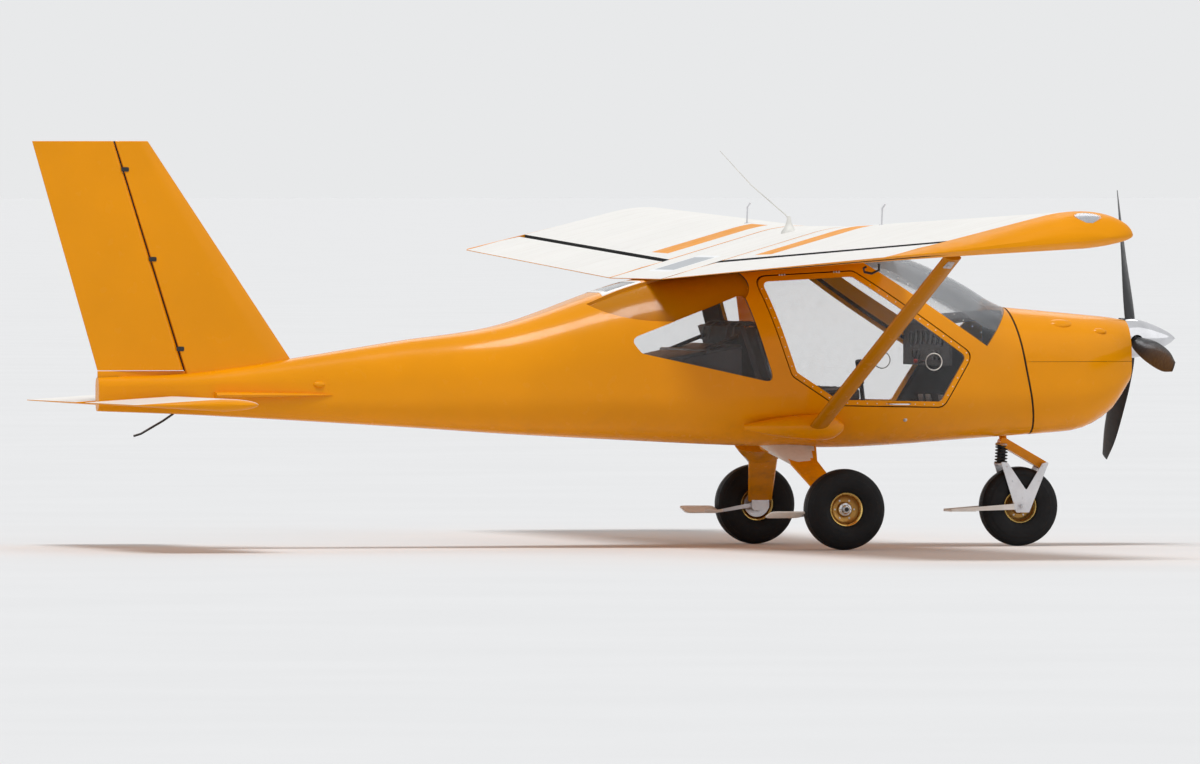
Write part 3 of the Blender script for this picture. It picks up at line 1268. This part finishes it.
class ULTRALIGHT_OT_wheels(bpy.types.Operator):
    """Builds the grooved tyres, the gold rims with their hubs, and the brakes"""
    bl_idname = "ultralight.wheels"
    bl_label = "Wheels"

    def execute(self, context):
        wheels = (("left", AXLE_X, WHEEL_Y, 1, WHEEL_RADIUS, TYRE_WIDTH, 0.0151),
                  ("right", AXLE_X, -WHEEL_Y, -1, WHEEL_RADIUS, TYRE_WIDTH, 0.0151),
                  ("nose", NOSE_X, 0, -1, NOSE_RADIUS, NOSE_TYRE_WIDTH, 0.0111))
        for name, x, y, out, radius, width, bore in wheels:
            body, tyre_node, rim_node = (f"nose_{part}" if name == "nose" else f"main_{part}_{name}"
                                         for part in ("wheel", "tyre", "rim"))
            centre, axis, half = (x, y, radius), (0, out, 0), width / 2
            deep = radius - RIM_RADIUS
            side = [(share * half, RIM_RADIUS + height * deep) for share, height in SIDEWALL]
            for groove, top in GROOVES:
                side += [((groove + step) * half, RIM_RADIUS + top * deep - sunk)
                         for step, sunk in ((0.035, 0.001), (0.022, 0.005), (-0.022, 0.005), (-0.035, 0))]
            side = [(BEAD[0] * half, BEAD[1])] + side
            profile = [(-along, r) for along, r in side] + [(0, radius)] + side[::-1]
            tyre = lathe(profile, centre, axis, 96, closed=True)
            add(f"tyre_{name}", [(tyre, "rubber")], body, "tyre_rubber", replaces=(tyre_node,), angle=40)

            wide = width / TYRE_WIDTH
            side = [(along * wide, r) for along, r in RIM + [(0.024, bore)]]
            rim = lathe(side + [(-along, r) for along, r in reversed(side)], centre, axis, 72, closed=True)
            dish, lips = parted(rim, lambda number, at: hypot(at.x - x, at.z - radius) < RIM_DISH)
            hub = [(along * wide, r) for along, r in [(HUB[0][0], bore)] + HUB + [(HUB[-1][0], bore)]]
            studs = []
            for turn in range(6):
                spin = Matrix.Rotation(turn * pi / 3, 3, "Y")
                for reach, along, size in ((0.030, 0.0305, 0.0036), (0.053, 0.0090, 0.0042)):
                    at = Vector(centre) + spin @ Vector((reach, out * along * wide, 0))
                    studs.append(bolt(at, axis, size, 0.005))
            parts = [(lips, "gold"), (dish, "bronze"),
                     (lathe(hub, centre, axis, 48, closed=True), "polished"), (joined(studs), "steel")]
            if name != "nose":
                parts.append((lathe(DISC, centre, axis, 64, closed=True), "steel"))
            add(f"rim_{name}", parts, body, "gold_rim", replaces=(rim_node,), bevel=0.0008)

        # Brake calipers and axle nuts, which stay with the legs
        inner = WHEEL_Y - 0.046
        shape = rounded([(-0.034, -0.018), (0.034, -0.018), (0.028, 0.020), (-0.028, 0.020)], 0.008)
        corner = (AXLE_X - 0.016, inner + 0.012, WHEEL_RADIUS + 0.062)
        caliper = slab(shape, corner, (1, 0, 0.2), (-0.2, 0, 1), 0.026)
        pipe = sweep([(AXLE_X - 0.020, inner - 0.010, WHEEL_RADIUS + 0.080),
                      (AXLE_X - 0.03, inner - 0.03, WHEEL_RADIUS + 0.10),
                      (AXLE_X - 0.045, 0.828, WHEEL_RADIUS + 0.10), (1.010, 0.780, 0.292)], 0.003, 8)
        nut = bolt((AXLE_X, WHEEL_Y + 0.0575, WHEEL_RADIUS), PORT, 0.009, 0.008)
        heads = [bolt(Vector(corner) + Vector((dx, -0.026, dz)), (0, -1, 0), 0.006, 0.005)
                 for dx, dz in ((-0.018, -0.002), (0.018, 0.002))]
        twins("brake", [(caliper, "steel"), (joined(heads), "steel"), (pipe, "black"), (nut, "black")],
              "airframe", "bare_steel", bevel=0.0012)
        return {"FINISHED"}


class ULTRALIGHT_OT_nose_gear(bpy.types.Operator):
    """Adds the coil spring, its seats and the bolts of the nose leg"""
    bl_idname = "ultralight.nose_gear"
    bl_label = "Nose gear"

    def execute(self, context):
        low, high = Vector((2.196, 0, 0.452)), Vector((2.202, 0, 0.545))
        way = (high - low).normalized()
        side = way.orthogonal().normalized()
        other = way.cross(side)
        turns, steps = 6.5, 24
        path = []
        for step in range(int(turns * steps) + 1):
            spin = 2 * pi * step / steps
            rise = min(1, max(0, (step / steps - 0.5) / (turns - 1)))
            path.append(low.lerp(high, rise) + (side * cos(spin) + other * sin(spin)) * 0.031)
        seats = [lathe([(0, 0.036), (0.006, 0.038), (0.012, 0.030)], low - way * 0.012, way, 32),
                 lathe([(0, 0.038), (0.008, 0.036), (0.014, 0.024)], high + way * 0.001, way, 32)]
        add("nose_spring", [(sweep(path, 0.0042, 8), "black"), (joined(seats), "steel")],
            "nose_leg", "black_metal")
        heads = []
        for sign in (-1, 1):
            face = sign * (NOSE_TYRE_WIDTH / 2 + 0.016)
            for x, z, size in ((2.214, 0.430, 0.006), (2.244, 0.352, 0.004), (2.390, 0.352, 0.004),
                               (2.412, 0.432, 0.007), (2.300, 0.260, 0.004)):
                heads.append(bolt((x, face, z), (0, sign, 0), size, 0.005))
            heads.append(bolt((NOSE_X, sign * 0.113, NOSE_RADIUS), (0, sign, 0), 0.010, 0.006))
        add("nose_bolts", [(joined(heads), "steel")], "nose_leg", "bare_steel")
        return {"FINISHED"}


class ULTRALIGHT_OT_propeller(bpy.types.Operator):
    """Builds the three twisted blades and the polished spinner"""
    bl_idname = "ultralight.propeller"
    bl_label = "Propeller"

    def execute(self, context):
        centre = (BLADE_X, 0, PROP_Z)
        moves = [
            Matrix.Translation(centre) @ Matrix.Rotation(radians(360 / BLADES * turn - BLADE_LEAN), 4, "X")
            for turn in range(BLADES)
        ]
        rings = []
        for radius, chord, thick, angle in smoothed(BLADE, 0.03):
            turn = radians(angle)
            across, up = Vector((sin(turn), cos(turn), 0)), Vector((-cos(turn), sin(turn), 0))
            rings.append([
                Vector((0, 0, radius)) + across * (u * chord / 2) + up * (v * abs(v) ** 0.3 * thick / 2)
                for u, v in oval(1, 1)])
        last = rings[-1]
        middle = sum(last, Vector()) / len(last)
        rings.append([middle + (point - middle) * 0.6 + Vector((0, 0, 0.003)) for point in last])
        blade, root, hole = lofted(rings), *(
            lathe(profile, (0, 0, 0), UP, sides) for profile, sides in (
                ([(0.062, 0.030), (0.100, 0.029), (0.112, 0.024)], 24), ([(0.05, 0.038), (0.16, 0.038)], 32)))
        hub = lathe([(-0.058, 0.060), (0.055, 0.060)], centre, FORWARD, 32)
        shaft = lathe([(-0.150, 0.022), (-0.060, 0.022)], centre, FORWARD, 24)
        add("blades", [(joined(moved(blade, move) for move in moves), "black"),
                       (joined(moved(root, move) for move in moves), "black"),
                       (hub, "engine"), (shaft, "steel")],
            "propeller", "black_blade", replaces=("propeller",))

        shell = [(SPINNER[0][0] - BLADE_X, 0.02)]
        shell += [(x - BLADE_X, max(0, radius)) for x, radius in smoothed(SPINNER, 0.012)]
        hollow = lathe([(-0.058, 0.104), (0.02, 0.098), (0.10, 0.060)], centre, FORWARD, 48)
        skin = plain(lathe(shell, centre, FORWARD, 64))
        skin = carved(skin, [hollow, *(moved(hole, move) for move in moves)])
        place(skin, "spinner_skin", "polished", "propeller", ("spinner",))
        ring = lathe([(-0.068, 0.1105), (-0.050, 0.1108), (-0.048, 0.1095), (-0.050, 0.109),
                      (-0.068, 0.1085)], centre, FORWARD, 64)
        add("spinner_ring", [(ring, "black")], "propeller", "black_metal")
        return {"FINISHED"}


class ULTRALIGHT_OT_cabin(bpy.types.Operator):
    """Fills the seats, lays the belts, and adds the glareshield, dials, controls, tubes and baggage bin"""
    bl_idname = "ultralight.cabin"
    bl_label = "Cabin"

    def execute(self, context):
        for name, outline in (("seat_cushion", SEAT_CUSHION), ("seat_back", SEAT_BACK)):
            half = SEAT_HALF - PAD_INSET
            block = rounded(grown(outline, -PAD_INSET), 0.014)
            block = slab(block, (0, SEAT_Y + half, 0), FORWARD, UP, 2 * half)
            pad = puffed(plain(block), (outline[3], outline[0]), SEAT_Y)
            for side, sign in SIDES:
                own = pad.copy()
                if sign < 0:
                    own.transform(Matrix.Scale(-1, 4, PORT))
                    own.flip_normals()
                piece = place(own, f"{name}_pad_{side}", "seat", "airframe",
                              (f"{name}_{side}",), angle=180)
                finer = piece.modifiers.new("finer", "SUBSURF")
                finer.levels = finer.render_levels = 1
        welts = []
        for y in (SEAT_Y - SEAT_HALF + 0.006, SEAT_Y + SEAT_HALF - 0.006):
            for outline in (SEAT_CUSHION, SEAT_BACK):
                path = [(x, y, z) for x, z in rounded(grown(outline, -0.004), 0.024)]
                welts.append(sweep(path + path[:2], 0.0035, 8))
        twins("seat_piping", [(joined(welts), "webbing")], "airframe", "seat_cloth", angle=60)

        # Shoulder belts over the seat back, and the lap belt with its buckle
        belts = [strap([(x, SEAT_Y + y, z) for x, z in SHOULDER_BELT], PORT, 0.045) for y in (-0.075, 0.075)]
        belts.append(strap([(x, SEAT_Y + y, z) for x, y, z in LAP_BELT], (1, 0, 0.1), 0.045))
        buckle = oblong(-0.030, -0.024, 0.030, 0.024, 0.008)
        buckle = slab(buckle, (0.915, SEAT_Y, 0.8405), PORT, (-1, 0, -0.1), 0.012)
        twins("seat_belt", [(joined(belts), "webbing")], "airframe", "seat_cloth", angle=60)
        twins("buckle", [(buckle, "steel")], "airframe", "bare_steel", bevel=0.002)

        deck = []
        for x, z in DECK:
            wide = skin_point(x, z - 0.02)[0].y - 0.026
            top = [(x, wide * k / 6, z + 0.022 * (1 - (k / 6) ** 2)) for k in range(-6, 7)]
            deck.append([Vector(p) for p in top] + [Vector((x, -p[1], z - 0.020)) for p in top])
        add("glareshield", [(lofted(deck), "deck")], "airframe", "cabin_plastic", bevel=0.004)

        bezels, faces, marks = [], [], []
        for y, z, radius in DIALS:
            at = (PANEL_X, y, z)
            ring = [(-0.002, radius * 0.86), (-0.002, radius), (0.006, radius), (0.009, radius * 0.94),
                    (0.009, radius * 0.88), (0.003, radius * 0.86)]
            bezels.append(lathe(ring, at, AFT, 32, closed=True))
            faces.append(lathe([(0.0, radius * 0.9), (0.0025, radius * 0.9), (0.0025, 0)], at, AFT, 32))
            for tick in range(9):
                turn = radians(-130 + 260 * tick / 8)
                out, side = Vector((0, sin(turn), cos(turn))), Vector((0, cos(turn), -sin(turn)))
                inner, long = (0.05, 0.62) if tick == 3 else (0.66, 0.16)   # the needle stands on one tick
                foot = Vector(at) + out * radius * inner - Vector((0.0025, 0, 0))
                mark = [(-0.0012, 0), (0.0012, 0), (0.0008, radius * long), (-0.0008, radius * long)]
                marks.append(slab(mark, foot, side, out, 0.0008))
        add("panel_dials", [(joined(bezels), "black"), (joined(faces), "dial"), (joined(marks), "mark")],
            "airframe", "cabin_plastic")

        top, foot = Vector((1.400, 0, 1.000)), Vector((1.440, 0, 0.648))
        way = (top - foot).normalized()
        grip, boot = lathe(GRIP, top, way, 28), lathe(BOOT, foot, way, 32)
        add("stick_grip", [(grip, "black"), (boot, "cabin")], "airframe", "cabin_plastic")
        knob = [(-0.012, 0.004), (0.040, 0.004), (0.040, 0.010), (0.046, 0.013), (0.058, 0.013), (0.062, 0)]
        add("panel_knobs", [(lathe(knob, (PANEL_X, y, 1.000), AFT, 24), look)
                            for y, look in ((-0.045, "black"), (0.045, "red"))], "airframe", "cabin_plastic")
        pedals = []
        for y in (0.13, 0.28):
            pedals.append(sweep([(1.86, y, 0.645), (1.845, y, 0.74), (1.835, y, 0.80)], 0.008, 10))
            plate = oblong(-0.045, -0.012, 0.045, 0.045, 0.008)
            pedals.append(slab(plate, (1.826, y, 0.775), PORT, (-0.15, 0, 1), 0.006))
        twins("pedals", [(joined(pedals), "steel")], "airframe", "bare_steel", bevel=0.001)

        # Tubes behind the seats, and the baggage bin with its lid's lip
        tubes = []
        for x, z in ((0.43, 1.063), (0.79, 1.205)):
            wide = skin_point(x, z)[0].y - CABIN_WALL
            tubes.append(sweep([(x, -wide, z), (x, wide, z)], 0.013, 14))
        for y in (-0.36, 0.36):
            tubes.append(sweep([(0.43, y, 1.063), (0.79, y, 1.205)], 0.011, 14))
        add("cabin_tubes", [(joined(tubes), "black")], "airframe", "black_metal")

        shells = []
        for drop, wide, deep in ((0.012, 0.000, 0.30), (0.0, 0.010, 0.022)):
            rings = []
            for x, top in BIN_TOP:
                half = skin_point(x, top)[0].y - CABIN_WALL - 0.035 + wide
                box = oblong(-half, max(top - drop - deep, 0.80), half, top - drop, 0.009)
                rings.append([Vector((x, y, z)) for y, z in box])
            shells.append(lofted(rings))
        add("baggage_bin", [(shells[0], "cabin"), (shells[1], "black")], "airframe", "cabin_plastic")
        return {"FINISHED"}


class ULTRALIGHT_OT_fittings(bpy.types.Operator):
    """Adds rivets, small covers, door handles and hinges, fresh-air rings and the skylight's trim"""
    bl_idname = "ultralight.fittings"
    bl_label = "Fittings"

    def execute(self, context):
        def heads(places, radius=0.0032):
            made = []
            for x, z in places:
                at, facing = skin_point(x, z)
                made.append(dome(at, facing, radius, radius * (0.7 if z < FLUSH_Z or x > 2 else 0.2)))
            return joined(made)

        ring = [(x, z) for x, z in along_outline(grown(DOOR, -0.012), 0.055) if z < RIVET_TOP]
        twins("door_rivets", [(heads(ring), "mark")], "door_{}", "sheet_metal", angle=60)
        pillar = along_outline([(1.330, 1.552), (1.995, 1.140)], 0.062, closed=False)
        sill = along_outline([(0.92, 0.735), (1.80, 0.722)], 0.09, closed=False)
        post = along_outline([(0.655, 1.400), (0.845, 0.905)], 0.09, closed=False)
        twins("skin_rivets", [(heads(pillar), "mark"), (heads(sill + post, 0.0026), "orange")],
              "airframe", "sheet_metal", angle=60)

        # Swellings on the cowl, and the cover on the cone with its ring of screws
        swellings = [blister(*skin_point(2.440, 1.208, table=COWL), 0.062, 0.030, 0.012),
                     blister(*skin_point(2.660, 1.165, table=COWL), 0.040, 0.018, 0.010)]
        twins("cowl_blisters", [(joined(swellings), "orange")], "airframe", "wing_paint", angle=60)
        screws = bow(COVER_AT, 0.055, 0.045, 0, 324, 9)
        cover = [blister(*skin_point(*COVER_AT), 0.032, 0.018, 0.014), heads(screws, 0.0026)]
        twins("tail_cover", [(joined(cover), "orange")], "airframe", "wing_paint", angle=60)

        # Door handle, the ring of the fresh-air vent in the door's pane, and the plug below the door
        a, b = (skin_point(x, 0.780, 0.001)[0] for x in (1.415, 1.535))
        out = skin_point(1.475, 0.780)[1] * 0.014
        low, high = (a.lerp(b, share) + out * 1.6 for share in (0.15, 0.85))
        bar = sweep([a, a + out, low, high, b + out, b], 0.005, 10)
        twins("door_handle", [(bar, "polished")], "door_{}", "bare_steel", angle=60)
        at, facing = skin_point(1.675, 1.003, 0.0015)
        side = facing.orthogonal().normalized()
        loop = [at + spoke * 0.045 for spoke in around(side, facing.cross(side), 48)]
        twins("air_vent", [(sweep(loop + loop[:1], 0.003, 8), "mark")], "door_{}", "sheet_metal", angle=60)
        plug = dome(*skin_point(1.520, 0.690), 0.011, 0.004, 24)
        twins("static_plug", [(plug, "steel")], "airframe", "bare_steel", angle=60)

        # Two hinges for each door: an eye on the aircraft between two leaves on the door
        eyes, leaves = [], []
        rear, front = Vector((0.8148, 0.44918, 1.4696)), Vector((1.182, 0.492548, 1.490))
        along = (front - rear).normalized()
        barrel = [(-0.004, 0.006), (0.004, 0.006)]
        for share in (0.1, 0.9):
            at = rear.lerp(front, share)
            below = at - Vector((0, 0, 0.004))
            eyes += [lathe(barrel, at, along, 16),
                     slab(oblong(-0.005, -0.004, 0.024, 0.004), below, (0, -1, 0.3), along, 0.004)]
            for centre in (at - along * 0.014, at + along * 0.014):
                leaves += [lathe(barrel, centre, along, 16),
                           slab(oblong(-0.004, -0.004, 0.026, 0.004), centre, (0, -0.25, -1), along, 0.004)]
        twins("hinge_eyes", [(joined(eyes), "steel")], "airframe", "bare_steel")
        twins("hinge_leaves", [(joined(leaves), "steel")], "door_{}", "bare_steel")

        trim = carved(hull_mesh(HULL, -0.0025, HULL[0][0]), [hull_shape(HULL, 0.003, HULL[0][0])])
        outer, inner = (upright(oblong(rear, 1.2, front, 1.8), half)
                        for rear, front, half in ((-0.082, 0.132, 0.205), (-0.058, 0.108, 0.178)))
        trim = carved(carved(trim, [outer], "INTERSECT"), [inner])
        place(trim, "skylight_trim", "white", "airframe")
        return {"FINISHED"}


class ULTRALIGHT_OT_finish(bpy.types.Operator):
    """Gives every carried-over piece of the frame its finish"""
    bl_idname = "ultralight.finish"
    bl_label = "Finishes"

    def execute(self, context):
        dress("orange", "nose_arm", "nose_sleeve", *both("main_leg"))
        dress("seam", "firewall")
        dress("black", "nose_shock", "control_stick")
        dress("engine", "engine_block")
        dress("cabin", "cabin_floor", "seat_frame", "instrument_panel")
        dress("seat", *both("seat_cushion", "seat_back"))
        dress("guard", *both("main_axle"))
        dress("fork", "nose_fork")
        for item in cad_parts.values():
            if not item.hide_render:
                soften = item.modifiers.new("join", "WELD")
                soften.merge_threshold = 0.00002
        return {"FINISHED"}


class ULTRALIGHT_OT_stage(bpy.types.Operator):
    """Sets the floor, the soft light and the camera"""
    bl_idname = "ultralight.stage"
    bl_label = "Stage"

    def execute(self, context):
        scene = context.scene
        stage = scene.ultralight_stage
        scene.view_settings.view_transform = "Standard"
        corners = oblong(-FLOOR_REACH, -FLOOR_REACH, FLOOR_REACH, FLOOR_REACH)
        slab = lofted([[Vector((x, y, z)) for x, y in corners] for z in (-0.02, 0.0)])
        floor = link("floor", mesh_of([(slab, "floor")], "floor"))

        world = bpy.data.worlds.new("studio")
        scene.world = world
        world.use_nodes = True
        tree = world.node_tree
        sky = tree.nodes["Background"]
        up = apart(tree, node(tree, "ShaderNodeTexCoord").outputs["Generated"])["Z"]
        glow = mixed(tree, ramp(tree, up, -0.1, 0.9), (0.62, 0.64, 0.66), (0.95, 0.97, 1.0))
        tree.links.new(glow, sky.inputs["Color"])
        sky.inputs["Strength"].default_value = 0.43
        seen = node(tree, "ShaderNodeBackground", {"Color": (*BACKDROP, 1), "Strength": 1.0})
        path = node(tree, "ShaderNodeLightPath").outputs
        shown = path["Is Camera Ray"]
        for kind in ("Is Transmission Ray", "Is Glossy Ray"):
            shown = maths(tree, "MAXIMUM", shown, path[kind])
        choice = node(tree, "ShaderNodeMixShader", {0: shown, 1: sky.outputs[0], 2: seen.outputs[0]})
        tree.links.new(choice.outputs[0], tree.nodes["World Output"].inputs["Surface"])

        for name, power, spread, direction in (
            ("key", 1.80, 20, (0.30, 0.58, -1.42)),
            ("fill", 0.40, 60, (-0.8, 0.7, -0.55)),
            ("rim", 0.35, 30, (-0.2, -1.0, -0.9)),
        ):
            lamp = bpy.data.lights.new(name, "SUN")
            lamp.energy = power
            lamp.angle = radians(spread)
            holder = link(name, lamp)
            holder.rotation_euler = Vector(direction).to_track_quat("-Z", "Y").to_euler()
            holder.location = -Vector(direction) * 8

        tilt = radians(VIEW_DOWN)
        forward = Vector((VIEW_WAY[0] * cos(tilt), VIEW_WAY[1] * cos(tilt), -sin(tilt))).normalized()
        camera = link("camera", bpy.data.cameras.new("camera"))
        camera.data.sensor_width = 36
        camera.data.lens = 36 * stage.distance / stage.view_width
        camera.data.clip_end = 5000
        camera.location = Vector(VIEW_MIDDLE) - forward * stage.distance
        camera.rotation_euler = forward.to_track_quat("-Z", "Y").to_euler()
        scene.camera = camera
        return {"FINISHED"}


class ULTRALIGHT_PT_panel(bpy.types.Panel):
    bl_idname = "ULTRALIGHT_PT_panel"
    bl_label = "Ultralight"
    bl_space_type = "VIEW_3D"
    bl_region_type = "UI"
    bl_category = "Ultralight"

    def draw(self, context):
        layout = self.layout
        for group in (context.scene.ultralight_paint, context.scene.ultralight_stage):
            for key in group.__annotations__:
                layout.prop(group, key)
        for step in STEPS:
            layout.operator(step.bl_idname)


GROUPS = {"ultralight_paint": UltralightPaint, "ultralight_stage": UltralightStage}
STEPS = (
    ULTRALIGHT_OT_stage, ULTRALIGHT_OT_fuselage, ULTRALIGHT_OT_cowling, ULTRALIGHT_OT_wing,
    ULTRALIGHT_OT_tail, ULTRALIGHT_OT_struts, ULTRALIGHT_OT_wheels, ULTRALIGHT_OT_nose_gear,
    ULTRALIGHT_OT_propeller, ULTRALIGHT_OT_cabin, ULTRALIGHT_OT_fittings, ULTRALIGHT_OT_finish,
)


def register():
    for item in (*GROUPS.values(), *STEPS, ULTRALIGHT_PT_panel):
        bpy.utils.register_class(item)
    for key, group in GROUPS.items():
        setattr(bpy.types.Scene, key, bpy.props.PointerProperty(type=group))


def unregister():
    for key in GROUPS:
        delattr(bpy.types.Scene, key)
    for item in reversed((*GROUPS.values(), *STEPS, ULTRALIGHT_PT_panel)):
        bpy.utils.unregister_class(item)


def main():
    register()
    for step in STEPS:
        area, name = step.bl_idname.split(".")
        getattr(getattr(bpy.ops, area), name)()


if __name__ == "__main__":
    main()
